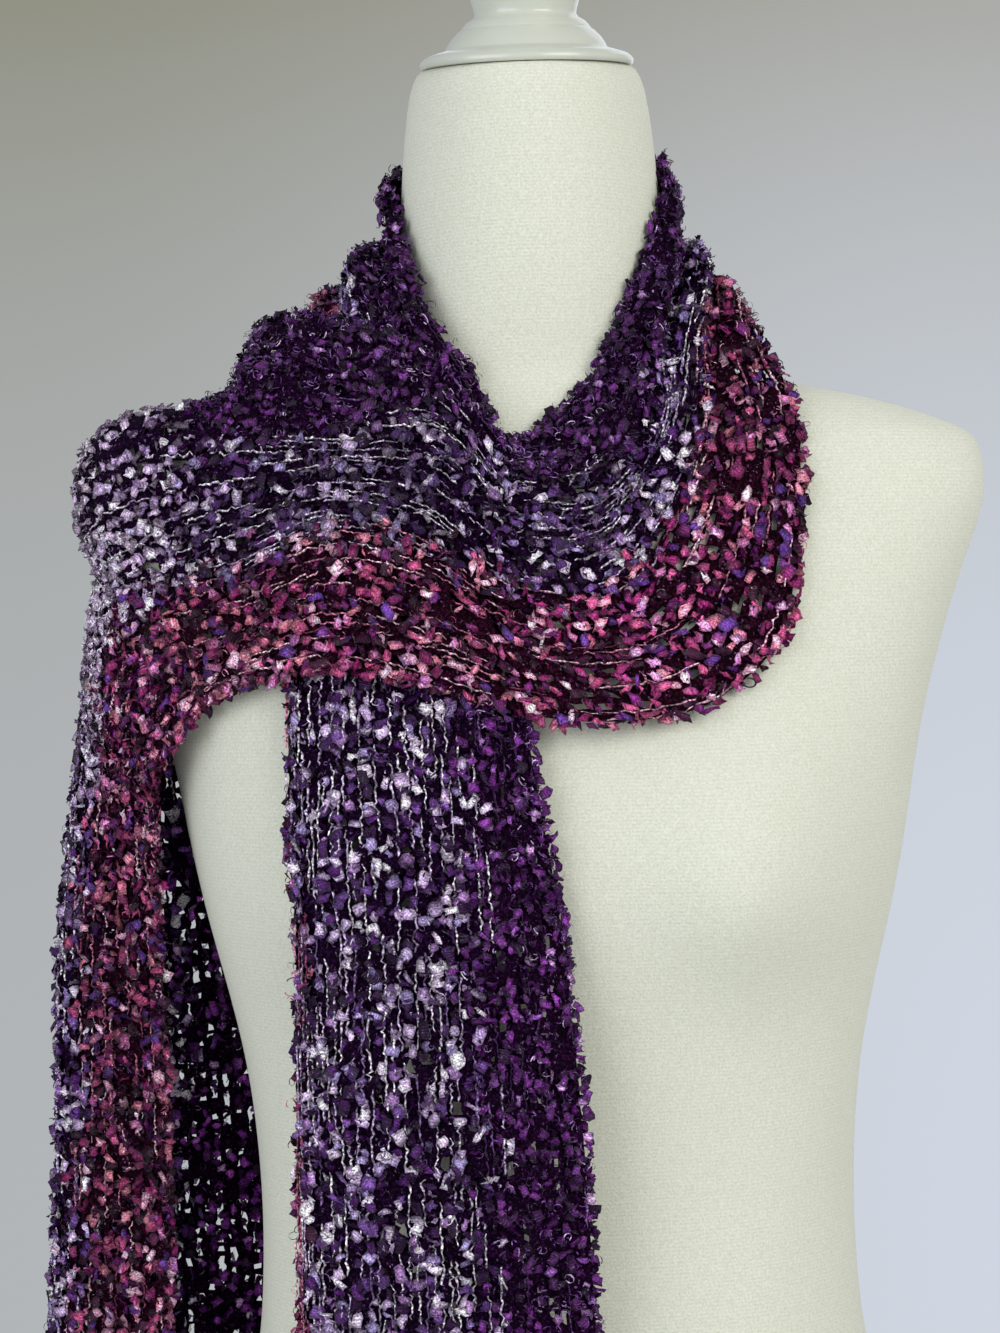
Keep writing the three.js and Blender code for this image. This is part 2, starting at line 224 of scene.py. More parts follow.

# Cotton jersey, knitted fine and drawn tight: matt, with a dry sparkle of fibres and faint level ribs. The
# sparkle is painted into the colour as a fine light and dark speckle, and the ribs are painted darker in
# their grooves as shade, beside their relief
cover = {
    "colour": "#e9ebdc",
    "shade": "#cfd1be",
    "ribPitch": 1.55 * mm,
    "ribShare": 0.22,
    "fleck": 0.95 * mm,
    "cloud": 60 * mm,
    "creaseEdge": 0.75,
    "rimAngle": 38,
    "quadAngle": 60,
    "smooth": 2,
}
waveTurn = 2 * math.pi / 20  # a Wave texture at scale 1 repeats after this much

jersey, tree, shader = newMaterial("cotton jersey cover")
ribs = addNode(tree, "TexWave", {
    0: placeOf(tree), "Scale": waveTurn / cover["ribPitch"], "Distortion": 1.2,
    "Detail": 2, "Detail Scale": 3,
}, bands_direction="Z")
grains = ranged(tree, noise(tree, 1 / cover["fleck"], 3, 0.7), 0.36, 0.64)
# fibre: the painted sparkle speckle and the ribs' painted groove shade, which also give the relief
fibre = addNode(tree, "Mix", {0: cover["ribShare"], 2: grains, 3: ribs.outputs[1]}).outputs[0]
tone = mixTones(tree, fibre, cover["shade"], cover["colour"])
age = ranged(tree, noise(tree, 1 / cover["cloud"]), 0.3, 0.7, 0, 0.16)
setInputs(tree, shader, {
    "Base Color": mixTones(tree, age, tone, cover["shade"]), "Normal": relief(tree, fibre, 0.5, 0.25),
    "Roughness": 0.86, "Specular IOR Level": 0.25,
    "Sheen Weight": 0.35, "Sheen Roughness": 0.5, "Sheen Tint": "#fbfbf2",
})


def setMode(mode):
    bpy.ops.object.mode_set(mode=mode)


def finishedCopy(source, name):
    bpy.ops.object.select_all(action="DESELECT")
    piece = source.copy()
    piece.data = source.data.copy()
    piece.name = name
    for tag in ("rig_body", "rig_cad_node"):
        if tag in piece:
            del piece[tag]
    piece.parent = None
    bpy.context.scene.collection.objects.link(piece)
    bpy.context.view_layer.objects.active = piece
    piece.select_set(True)
    return piece


torso = finishedCopy(frame["nodes"]["form_torso"], "jersey_form")
setMode("EDIT")
bpy.ops.mesh.select_all(action="SELECT")
bpy.ops.mesh.remove_doubles(threshold=weld)
quadAngle = math.radians(cover["quadAngle"])
bpy.ops.mesh.tris_convert_to_quads(face_threshold=quadAngle, shape_threshold=quadAngle)
bpy.ops.mesh.select_all(action="DESELECT")
setMode("OBJECT")
setMode("EDIT")
bpy.ops.mesh.edges_select_sharp(sharpness=math.radians(cover["rimAngle"]))
bpy.ops.transform.edge_crease(value=cover["creaseEdge"])
setMode("OBJECT")
smoothing = torso.modifiers.new("smooth", "SUBSURF")
smoothing.levels = cover["smooth"]
smoothing.render_levels = cover["smooth"]
bpy.ops.object.modifier_apply(modifier=smoothing.name)
bpy.ops.object.shade_smooth()
torso.data.materials.clear()
torso.data.materials.append(jersey)
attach(torso, "root")
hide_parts("form_torso")

# Turned beech, sprayed with white lacquer: a hard clear gloss over a hardly uneven ground
lacquer, tree, shader = newMaterial("white lacquer on turned wood")
swell = noise(tree, 90)
setInputs(tree, shader, {
    "Base Color": mixTones(tree, swell, "#c4c8ba", "#cfd3c6"), "Normal": relief(tree, swell, 0.15, 0.3),
    "Roughness": 0.28, "Coat Weight": 0.6, "Coat Roughness": 0.12,
})

# Steel, powder coated in white: satin, with a fine orange peel
enamel, tree, shader = newMaterial("white powder coat on steel")
dust = noise(tree, 14, 5)
setInputs(tree, shader, {
    "Base Color": mixTones(tree, dust, "#dcdfd6", "#e8ebe3"),
    "Normal": relief(tree, noise(tree, 700), 0.25, 0.1), "Roughness": 0.46,
})

turning = {"steps": 96, "bevel": 0.5 * mm, "bevelSteps": 3, "bevelAngle": 14, "smoothAngle": 38}
formTop = 876
neckTopY = -14.5
neckLean = 6.5  # the neck's top leans to the front, and the cap stands square to it
# Radius and height pairs in millimetres, from the foot on the axis to the top on the axis
capProfile = [
    (0, 0.3), (45.8, 0.3), (46.6, 1.6), (46.4, 3.2), (44, 5.2), (39, 6.8), (35.4, 7.8), (34.6, 9.8),
    (32.8, 12.6), (29.8, 15.6), (28.4, 16.4), (28, 17.4), (26, 19.6), (22.9, 21.4), (22.1, 23), (22.4, 24.8),
    (23.8, 30), (26, 34), (28, 38), (29.3, 42.5), (29.5, 47), (28.9, 52.5), (27, 58), (24, 63), (20, 67),
    (15.5, 70.2), (10, 72.5), (5, 73.7), (0, 74),
]
poleProfile = [(0, 42.3), (16, 42.3), (16, 137.7), (44, 141.7), (44, 149.7), (0, 149.7)]
baseProfile = [
    (0, 0), (146, 0), (150, 4), (150, 9), (145, 14), (120, 17), (90, 19.4), (60, 22), (42, 24.4), (32, 27),
    (26, 34), (25, 42), (0, 42),
]


def turnPiece(name, profile, place, lean, material, node):
    # a single point, drawn along the profile, then spun round the axis
    points = [np.array((r, 0, z)) * mm for r, z in profile]
    bpy.ops.object.select_all(action="DESELECT")
    bpy.ops.mesh.primitive_plane_add(size=mm)
    piece = bpy.context.object
    piece.name = name
    setMode("EDIT")
    bpy.ops.mesh.merge(type="CENTER")
    bpy.ops.transform.translate(value=tuple(points[0]))
    for here, there in zip(points, points[1:]):
        bpy.ops.mesh.extrude_region_move(TRANSFORM_OT_translate={"value": tuple(there - here)})
    bpy.ops.mesh.select_all(action="SELECT")
    bpy.ops.mesh.spin(steps=turning["steps"], angle=2 * math.pi, center=(0, 0, 0), axis=(0, 0, 1))
    bpy.ops.mesh.select_all(action="SELECT")
    bpy.ops.mesh.remove_doubles(threshold=weld)
    bpy.ops.mesh.normals_make_consistent(inside=False)
    setMode("OBJECT")
    edges = piece.modifiers.new("edges", "BEVEL")
    edges.width = turning["bevel"]
    edges.segments = turning["bevelSteps"]
    edges.angle_limit = math.radians(turning["bevelAngle"])
    bpy.ops.object.modifier_apply(modifier=edges.name)
    piece.rotation_euler.x = math.radians(lean)
    piece.location = np.array(place) * mm
    bpy.ops.object.transform_apply(location=True, rotation=True)
    bpy.ops.object.shade_smooth_by_angle(angle=math.radians(turning["smoothAngle"]))
    piece.data.materials.append(material)
    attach(piece, "root")
    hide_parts(node)
    return piece


neckTop = (0, neckTopY, formTop)
turnPiece("neck_cap", capProfile, neckTop, neckLean, lacquer, "form_cap")
turnPiece("pole", poleProfile, (0, 0, 0), 0, enamel, "stand_pole")
turnPiece("round_base", baseProfile, (0, 0, 0), 0, enamel, "stand_base")


print("stage: the lie of the scarf")

# Level cuts through the form: height, half width, reach to the front, reach to the back, squareness
formCuts = np.array([
    (150, 160, 97, 105, 2.3), (156, 165, 101, 110, 2.3), (180, 167, 104, 118, 2.3),
    (215, 164.5, 106, 123, 2.3), (250, 155.5, 107, 120, 2.3), (285, 143.5, 105, 109, 2.3),
    (320, 133.5, 101, 98, 2.3), (350, 130.5, 98, 91, 2.3), (385, 129.8, 95, 87, 2.3),
    (420, 131.8, 95, 86, 2.3), (450, 135.8, 97, 88, 2.3), (480, 142.5, 99, 91, 2.3),
    (510, 150, 100, 94, 2.35), (540, 156.3, 100, 97, 2.4), (575, 162.3, 97, 100, 2.5),
    (605, 169, 92, 101, 2.6), (635, 178, 85, 99, 2.7), (660, 186.8, 78, 95, 2.8),
    (685, 196, 71, 89, 2.8), (700, 196, 66, 84, 2.7), (710, 193.4, 62, 80, 2.6),
    (715, 187.5, 60, 78, 2.5), (720, 174.5, 58, 76, 2.4), (726, 158.5, 56, 73, 2.3),
    (732, 135, 54, 70, 2.2), (737, 109.5, 52, 67, 2.1), (742, 88, 50, 64, 2.05),
    (748, 73, 50, 61, 2), (756, 65, 51, 58, 2), (768, 60.5, 53, 54, 2), (785, 58, 56, 50, 2),
    (815, 57.2, 60, 45, 2), (845, 55, 62.5, 40, 2), (862, 52.8, 63, 36.5, 2),
    (870, 51, 62.5, 34.5, 2), (876, 47.6, 60, 31, 2),
])
bust = {"x": 82, "z": 522, "height": 28, "spreadX": 46, "spreadUp": 58, "spreadDown": 40, "fade": 40}

# Rows across the strip, by stretch: plum edge, plum line, rose line, rose edge, and how far the
# cloth lies off the form at least, on the plum side and at the rose edge.
scarfRows = {
    "front_tail": [
        ((14, -121, 185), (-31, -128, 185), (-103, -122, 185), (-72, -113, 185), 9, 2.6),
        ((14, -121, 260), (-30, -129, 260), (-104, -122, 260), (-73, -113, 260), 9, 2.6),
        ((12, -122, 345), (-30, -130, 345), (-105, -123, 345), (-74, -114, 345), 9, 2.6),
        ((8.5, -120, 440), (-32, -130, 440), (-105, -124, 440), (-75, -116, 440), 9, 3.2),
        ((2, -111, 520), (-34, -125, 521), (-104, -117, 522), (-78, -110, 522), 9, 3.2),
        ((-8, -103, 587), (-37, -106, 588), (-106, -98, 590), (-83, -90, 590), 9, 3.2),
        ((-11, -84, 643), (-38, -84, 645), (-103, -76, 650), (-92, -70, 652), 5, 2.6),
    ],
    "neck_left": [
        ((-14, -72, 687), (-41, -70, 691), (-96, -62, 697), (-110, -56, 700), 2.6, 2.6),
        ((-25, -59, 733), (-51, -56, 740), (-87, -45, 747), (-105, -36, 743), 2.6, 2.6),
        ((-46, -45, 769), (-64, -36, 775), (-84, -16, 779), (-95, 2, 767), 2.6, 2.6),
        ((-58, -6, 827), (-64, -3, 805), (-83, 10, 787), (-96, 22, 765), 2.6, 2.6),
    ],
    "neck_back": [
        ((-44, 33, 834), (-53, 46, 806), (-69, 62, 773), (-78, 76, 738), 2.6, 2.6),
        ((0, 46, 842), (0, 58, 807), (0, 76, 755), (0, 86, 712), 2.6, 2.6),
        ((44, 33, 841), (54, 46, 811), (70, 60, 777), (80, 70, 742), 2.6, 2.6),
    ],
    "neck_right": [
        ((57, -6, 832), (61, 1, 805), (75, 6, 789), (84, 7, 773), 2.6, 2.6),
        ((50, -34, 797), (62, -25, 787), (76, -14, 782), (86, -7, 770), 2.6, 2.6),
        ((32, -54, 752), (50, -53, 748), (71, -43, 750), (95, -26, 751), 3.6, 3.6),
        ((25, -57, 738), (47, -60, 727), (71, -60, 723), (108, -51, 721), 3.6, 3.6),
    ],
    "chest_turn": [
        ((9, -61, 723), (36, -69, 703), (63, -71, 693), (108, -68, 680), 2.6, 2.6),
        ((-1, -65, 713), (20, -74, 690), (45, -82, 660), (102, -80, 639), 2.6, 2.6),
        ((-8, -66, 710), (8, -75, 689), (30, -87, 646), (91, -88, 616), 3.5, 2.6),
        ((-12, -68, 709), (-3, -76, 690), (10, -90, 642), (61, -101, 596), 6, 3.5),
        ((-16, -71, 711), (-15, -79, 694), (-10, -94, 645), (23, -107, 592), 8, 7),
    ],
    "chest_band": [
        ((-27, -72, 723), (-28, -78, 711), (-29, -94, 656), (-12, -109, 597), 9, 9),
        ((-45, -62, 748), (-45, -72, 727), (-47, -88, 669), (-44, -105, 608), 9, 9),
        ((-80, -44, 762), (-84, -66, 727), (-88, -82, 679), (-84, -98, 617), 9, 9),
        ((-106, -6, 772), (-115, -50, 740), (-124, -76, 664), (-120, -86, 613), 9, 6),
        ((-121, 3, 768), (-126, -41, 739), (-138, -70, 661), (-130, -81, 610), 7, 4),
    ],
    "shoulder_cover": [
        ((-131, 46, 731), (-139, -4, 731), (-155, -64, 656), (-140, -76, 606), 3, 2.6),
        ((-156, 62, 718), (-167, 8, 719), (-178, -46, 650), (-155, -67, 591), 5, 2.6),
        ((-165, 84, 679), (-185, 42, 689), (-193, -24, 634), (-166, -54, 575), 4.4, 2.6),
    ],
    "side_tail": [
        ((-142, 99, 600), (-182, 70, 602), (-203, 2, 592), (-169, -38, 552), 4, 4),
        ((-131, 104, 500), (-176, 79, 500), (-216, 11, 500), (-170, -24, 488), 4, 4),
        ((-127, 106, 400), (-174, 83, 400), (-221, 17, 400), (-170, -17, 395), 4, 4),
        ((-126, 108, 300), (-173, 84, 300), (-227, 19, 300), (-173, -15, 300), 4, 4),
        ((-126, 109, 200), (-173, 85, 200), (-229, 19, 200), (-178, -15, 200), 4, 4),
    ],
}
strip = {
    "width": 178,
    "plumLine": 0.27,
    "roseLine": 0.68,
    "seam": 0.3,
    "foldCount": 2.5,
    "foldDepth": 8,
    "foldDrift": 90,
    "foldSway": 0.9,
    "tuckStart": -0.04,
    "tuckEnd": 0.16,
    "layer": 5,  # from the middle of one layer to the middle of the next
    "overlapNear": 9,
    "overlapFar": 24,
    "underStep": 15,
    "underReach": 4,
    "underColumns": 17,
    "slopeStep": 1,  # directions are taken over this much along and this share across
    "slopeShare": 0.01,
    "liftRounds": 8,
    "mapStep": 4,
    "mapColumns": 49,
}
acrossStations = np.array([0, strip["plumLine"], strip["roseLine"], 1])
rowNames = [name for name, rows in scarfRows.items() for row in rows]
rowPoints = np.array([row[:4] for rows in scarfRows.values() for row in rows], float)
rowLifts = np.array([row[4:] for rows in scarfRows.values() for row in rows], float)
rowMiddles = rowPoints[:, 1:3].mean(axis=1)
rowStations = np.concatenate([[0], np.linalg.norm(np.diff(rowMiddles, axis=0), axis=1).cumsum()])
stretchNames = list(scarfRows)
stretchStarts = {name: rowStations[rowNames.index(name)] for name in stretchNames}


def smoothStep(value, low, high):
    t = np.clip((value - low) / (high - low), 0, 1)
    return t * t * (3 - 2 * t)


# A smooth curve through values at uneven stations
def alongCurve(stations, values, at):
    values = np.asarray(values, float)
    at = np.asarray(at, float)
    last = len(stations) - 1
    i = np.clip(np.searchsorted(stations, at) - 1, 0, last - 1)
    ahead = np.minimum(np.arange(last + 1) + 1, last)
    behind = np.maximum(np.arange(last + 1) - 1, 0)
    extra = (1,) * (values.ndim - 1)
    slopes = (values[ahead] - values[behind]) / (stations[ahead] - stations[behind]).reshape((-1,) + extra)
    span = (stations[i + 1] - stations[i]).reshape(at.shape + extra)
    t = (at - stations[i]).reshape(at.shape + extra) / span
    ends = (2 * t ** 3 - 3 * t ** 2 + 1) * values[i] + (3 * t ** 2 - 2 * t ** 3) * values[i + 1]
    return ends + span * ((t ** 3 - 2 * t ** 2 + t) * slopes[i] + (t ** 3 - t ** 2) * slopes[i + 1])


# Nought on the form's surface, more outside it
def formLevel(points):
    x, y, z = points[..., 0], points[..., 1], points[..., 2]
    height = np.clip(z, formCuts[0, 0], formCuts[-1, 0])
    cut = alongCurve(formCuts[:, 0], formCuts[:, 1:], height)
    spread = np.where(z > bust["z"], bust["spreadUp"], bust["spreadDown"])
    up = ((z - bust["z"]) / spread) ** 2
    mounds = sum(np.exp(-(((x - side * bust["x"]) / bust["spreadX"]) ** 2) - up) for side in (1, -1))
    share = np.clip(-y / bust["fade"], 0, 1)
    flat = np.where(y < 0, np.minimum(0, y + bust["height"] * mounds * share), y)
    reach = np.where(flat < 0, cut[..., 1], cut[..., 2])
    power = cut[..., 3]
    return ((np.abs(x) / cut[..., 0]) ** power + (np.abs(flat) / reach) ** power) ** (1 / power) - 1


def formSlope(points, reach=0.5):
    steps = [formLevel(points + axis * reach) - formLevel(points - axis * reach) for axis in np.eye(3)]
    return np.stack(steps, axis=-1) / (2 * reach)


def liftOffForm(points, lift):
    for turn in range(strip["liftRounds"]):
        slope = formSlope(points)
        steep = np.linalg.norm(slope, axis=-1)
        short = np.maximum(0, lift - formLevel(points) / steep)
        points = points + slope / steep[..., None] * short[..., None]
    return points


def smoothPoints(along, across):
    controls = alongCurve(rowStations, rowPoints, along)
    return alongCurve(acrossStations, controls.transpose(1, 0, 2), across).transpose(1, 0, 2)


def unit(vectors):
    return vectors / np.maximum(np.linalg.norm(vectors, axis=-1, keepdims=True), 1e-9)


# Points of the cloth's middle, off the form, with soft folds where the strip is drawn together
def scarfPoints(along, across):
    points = smoothPoints(along, across)
    step, share = strip["slopeStep"], strip["slopeShare"]
    up = smoothPoints(along + step, across) - smoothPoints(along - step, across)
    over = smoothPoints(along, across + share) - smoothPoints(along, across - share)
    controls = alongCurve(rowStations, rowPoints, along)
    width = np.linalg.norm(np.diff(controls, axis=1), axis=-1).sum(axis=1)
    spare = np.maximum(0, 1 - width / strip["width"])[:, None]
    drift = strip["foldSway"] * np.sin(along / strip["foldDrift"])[:, None]
    fold = strip["foldDepth"] * spare * np.sin(2 * np.pi * strip["foldCount"] * across + drift)
    points = points + unit(np.cross(up, over)) * fold[..., None]
    lifts = alongCurve(rowStations, rowLifts, along)
    line = strip["roseLine"]
    tuck = smoothStep(across, line + strip["tuckStart"], line + strip["tuckEnd"])[None, :]
    return liftOffForm(points, lifts[:, :1] * (1 - tuck) + lifts[:, 1:] * tuck)


# The layer that the chest band crosses, as places and outward directions
def underlayPlaces():
    end = stretchStarts["neck_back"]
    along = np.linspace(0, end, math.ceil(end / strip["underStep"]) + 1)
    across = np.linspace(0, 1, strip["underColumns"])
    side = 0.5 / (strip["underColumns"] - 1)
    reach = strip["underReach"]
    up = scarfPoints(along + reach, across) - scarfPoints(along - reach, across)
    over = scarfPoints(along, np.minimum(1, across + side)) - scarfPoints(along, np.maximum(0, across - side))
    places = scarfPoints(along, across)
    outward = unit(np.cross(up, over))
    facing = (outward * formSlope(places)).sum(axis=-1) > 0
    return places[facing], outward[facing]


def clearOfUnderlay(points):
    places, outward = underlayPlaces()
    flat = points.reshape(-1, 3)
    nearest = np.linalg.norm(flat[:, None] - places[None], axis=-1).argmin(axis=1)
    gap = flat - places[nearest]
    normal = outward[nearest]
    height = (gap * normal).sum(axis=-1)
    beside = np.linalg.norm(gap - normal * height[:, None], axis=-1)
    share = 1 - smoothStep(beside, strip["overlapNear"], strip["overlapFar"])
    rise = np.maximum(0, strip["layer"] - np.maximum(0, height)) * share
    return (flat + normal * rise[:, None]).reshape(points.shape)


mapRows = math.ceil(rowStations[-1] / strip["mapStep"]) + 1
mapAlong = np.linspace(0, rowStations[-1], mapRows)
mapAcross = np.linspace(0, 1, strip["mapColumns"])
clothMap = scarfPoints(mapAlong, mapAcross)
crossing = (mapAlong > stretchStarts["chest_turn"]) & (
    mapAlong < stretchStarts["shoulder_cover"] + 2 * strip["underStep"])
clothMap[crossing] = clearOfUnderlay(clothMap[crossing])
mapUp = unit(np.gradient(clothMap, axis=0))
mapOver = unit(np.gradient(clothMap, axis=1))
mapOut = unit(np.cross(mapUp, mapOver))
print("scarf length on its middle, mm:", round(rowStations[-1]))


# Place, lengthwise, sideways and outward directions at stations along and shares across
def onCloth(along, across):
    i = np.clip(along / mapAlong[-1], 0, 1) * (mapRows - 1)
    j = np.clip(across, 0, 1) * (strip["mapColumns"] - 1)
    i0 = np.minimum(i.astype(int), mapRows - 2)
    j0 = np.minimum(j.astype(int), strip["mapColumns"] - 2)
    fi = (i - i0)[..., None]
    fj = (j - j0)[..., None]
    found = []
    for table in (clothMap, mapUp, mapOver, mapOut):
        near = table[i0, j0] * (1 - fj) + table[i0, j0 + 1] * fj
        far = table[i0 + 1, j0] * (1 - fj) + table[i0 + 1, j0 + 1] * fj
        found.append(near * (1 - fi) + far * fi)
    place, up, over, out = found
    return place, unit(up), unit(over), unit(out)


print("stage: yarns")

# Where the plum and the rose line run, as shares of the width. The cloth rolls and bunches, so
# they wander: stretch, share of its length, plum line, rose line.
lineTurns = [
    ("front_tail", 0, 0.24, 0.69), ("front_tail", 0.9, 0.28, 0.68), ("neck_left", 0.3, 0.36, 0.72),
    ("neck_left", 0.7, 0.55, 0.78), ("neck_back", 0.3, 0.4, 0.7), ("neck_right", 0, 0.4, 0.62),
    ("neck_right", 0.5, 0.32, 0.62), ("chest_turn", 0, 0.26, 0.66), ("chest_turn", 0.9, 0.16, 0.66),
    ("chest_band", 0, 0.16, 0.67), ("chest_band", 0.35, 0.38, 0.71), ("chest_band", 0.9, 0.46, 0.7),
    ("shoulder_cover", 0.1, 0.22, 0.7), ("shoulder_cover", 0.45, 0.04, 0.74),
    ("shoulder_cover", 0.8, 0.06, 0.79), ("side_tail", 0.3, 0.24, 0.81), ("side_tail", 1, 0.27, 0.76),
]
blur = 0.035  # soft borders: each stitch draws its own zone this far about the line


def stretchSpan(name):
    first = rowNames.index(name)
    after = first + rowNames.count(name)
    start = rowStations[first] + (strip["seam"] / 2 if first else 0)
    end = rowStations[after] - strip["seam"] / 2 if after < len(rowNames) else rowStations[-1]
    return start, end


softTurn = 22


# A table's value at each place along the strip, turning softly from one stretch to the next
def alongStrip(table, plain, along):
    knots = np.concatenate([np.array(stretchSpan(name)) + [softTurn, -softTurn] for name in stretchNames])
    return np.interp(along, knots, np.repeat([table.get(name, plain) for name in stretchNames], 2))


turnPlaces = [np.interp(turn[1], (0, 1), stretchSpan(turn[0])) for turn in lineTurns]
plumLines = [turn[2] for turn in lineTurns]
roseLines = [turn[3] for turn in lineTurns]
zoneNames = ("plum", "lavender", "rose")


def zoneOf(along, across, chance):
    shifted = across + chance.normal(0, blur, across.shape)
    plumSide = shifted < np.interp(along, turnPlaces, plumLines)
    roseSide = shifted > np.interp(along, turnPlaces, roseLines)
    return np.where(plumSide, 0, np.where(roseSide, 2, 1))


yarnColours = {
    "plum": [("#6a2a7a", 19), ("#4c175a", 27), ("#360c42", 23), ("#1e0326", 21), ("#7d4696", 7),
             ("#a87db6", 3)],
    "lavender": [("#eedcf5", 12), ("#c9b0d8", 14), ("#9f8dc2", 9), ("#8e699e", 10), ("#603c7e", 12),
                 ("#431759", 18), ("#240330", 25)],
    "rose": [("#f4b6cf", 9), ("#dd8399", 8), ("#d07ab0", 6), ("#ac4874", 13), ("#792056", 17),
             ("#581654", 12), ("#562d7c", 8), ("#2a0420", 27)],
}
threadColours = {
    "plum": [("#7a5090", 30), ("#3b184b", 70)],
    "lavender": [("#f1e4f6", 62), ("#cfbbdd", 26), ("#8a6da3", 12)],
    "rose": [("#f2bccd", 46), ("#d0809e", 34), ("#8f3a62", 20)],
}
curlColours = {
    "plum": [("#c9a8d6", 10), ("#8453a0", 20), ("#552a6c", 30), ("#230c2d", 40)],
    "lavender": [("#cfc3e2", 8), ("#8a77a8", 12), ("#2d1438", 32), ("#11051a", 48)],
    "rose": [("#e096b2", 10), ("#a14a70", 18), ("#4c1836", 30), ("#1a0714", 42)],
}
netColours = {"plum": "#28062f", "lavender": "#22052c", "rose": "#30061f"}


def drawColours(palette, zones, chance):
    drawn = np.zeros(zones.shape + (3,))
    for k, name in enumerate(zoneNames):
        colours = np.array([linear(colour)[:3] for colour, share in palette[name]])
        shares = np.array([share for colour, share in palette[name]], float)
        here = zones == k
        drawn[here] = colours[chance.choice(len(colours), here.sum(), p=shares / shares.sum())]
    return drawn


# The hand dyed yarn is paler in some rows than in others. For each wave: its turn along in radians
# a millimetre, its turn over the width, where it starts and how deep it is.
dyeWaves = [(0.052, 4, 0, 0.14), (0.023, -7, 1, 0.14), (0.19, 19, 0, 0.1)]


def dye(along, across):
    return np.exp(sum(depth * np.sin(along * lengthwise + across * sideways + phase)
                      for lengthwise, sideways, phase, depth in dyeWaves))


def yarnMaterial(name, roughness, gloss, ribPitch, ribDepth, grooveShade, uneven):
    material, tree, shader = newMaterial(name)
    light = ranged(tree, noise(tree, 1150), 0.35, 0.65, 0.4, 1.6)
    along = addNode(tree, "UVMap", uv_map="yarn")
    ribs = addNode(tree, "TexWave", {
        0: along.outputs[0], "Scale": waveTurn / ribPitch, "Distortion": uneven, "Detail": 1,
    }, bands_direction="X")
    # the ribs are painted darker in their grooves and lighter on their ridges: painted shade and light beside
    # the rib relief
    shade = ranged(tree, ribs.outputs[1], 0, 1, grooveShade, 2 - grooveShade)
    both = addNode(tree, "Math", {0: light, 1: shade}, operation="MULTIPLY").outputs[0]
    # painted glints: small pale dots mixed into the yarn's colour
    paintedSpark = ranged(tree, noise(tree, 900, 1), 0.66, 0.74, 0, 0.3)
    setInputs(tree, shader, {
        "Base Color": mixTones(tree, paintedSpark, tinted(tree, both), "#b79ac4"),
        "Normal": relief(tree, ribs.outputs[1], 0.6, ribDepth),
        "Roughness": roughness, "Specular IOR Level": gloss,
    })
    return material


# Woven nylon tabs: satin, ribbed across. The real ribs are 0.4 mm, drawn at 1.1 mm so that they show.
tabSatin = yarnMaterial("woven nylon satin flags", roughness=0.4, gloss=0.22, ribPitch=1.1, ribDepth=0.25,
                        grooveShade=0.72, uneven=2)
# Twisted polyester: a bright hard thread, its uneven grooves painted dark as shade
threadTwist = yarnMaterial("twisted polyester thread", roughness=0.5, gloss=0.3, ribPitch=2.3, ribDepth=0.3,
                           grooveShade=0.5, uneven=8)
# Crimped nylon filament: glossy, so it glints where it curls, with painted glint dots as on the other yarns
filament = yarnMaterial("crimped nylon filament", roughness=0.3, gloss=0.6, ribPitch=0.9, ribDepth=0.1,
                        grooveShade=0.9, uneven=2)

# Knitted dark binder yarn: matt and uneven, near black between the flags. Each knot is painted lighter in its
# middle and darker towards its edges, as light and shade, and a few painted glints are mixed in
binder, tree, shader = newMaterial("knitted binder yarn")
knots = addNode(tree, "TexVoronoi", {0: placeOf(tree), "Scale": 700}).outputs["Distance"]
loops = ranged(tree, knots, 0.1, 0.55, 1.6, 0.2)
paintedGlint = ranged(tree, noise(tree, 620, 1), 0.66, 0.74, 0, 0.6)
setInputs(tree, shader, {
    "Base Color": mixTones(tree, paintedGlint, tinted(tree, loops), "#8d6a9f"),
    "Normal": relief(tree, knots, 0.8, 0.5), "Roughness": 0.9, "Specular IOR Level": 0.06,
})


def giveTint(mesh, tints):
    layer = mesh.attributes.new("tint", "FLOAT_COLOR", "POINT")
    full = np.concatenate([np.clip(tints, 0, 1), np.ones((len(tints), 1))], axis=1)
    layer.data.foreach_set("color", full.astype(np.float32).ravel())


def newPiece(name, points, faces, tints, uvs, material):
    mesh = bpy.data.meshes.new(name)
    mesh.vertices.add(len(points))
    mesh.vertices.foreach_set("co", (points * mm).astype(np.float32).ravel())
    mesh.loops.add(faces.size)
    mesh.loops.foreach_set("vertex_index", faces.astype(np.int32).ravel())
    mesh.polygons.add(len(faces))
    mesh.polygons.foreach_set("loop_start", np.arange(len(faces), dtype=np.int32) * faces.shape[1])
    mesh.polygons.foreach_set("use_smooth", np.ones(len(faces), bool))
    mesh.update(calc_edges=True)
    giveTint(mesh, tints)
    layer = mesh.uv_layers.new(name="yarn")
    layer.data.foreach_set("uv", uvs[faces.ravel()].astype(np.float32).ravel())
    mesh.materials.append(material)
    piece = bpy.data.objects.new(name, mesh)
    bpy.context.scene.collection.objects.link(piece)
    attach(piece, "root")
    return piece


def joined(lists, more):
    return [np.concatenate(pair) for pair in zip(lists, more)]


# Faces of many equal grids, rows by columns of points each
def gridFaces(count, rows, columns):
    first = (np.arange(rows - 1)[:, None] * columns + np.arange(columns - 1)[None]).ravel()
    one = np.stack([first, first + 1, first + columns + 1, first + columns], axis=1)
    return (one[None] + (np.arange(count) * rows * columns)[:, None, None]).reshape(-1, 4)


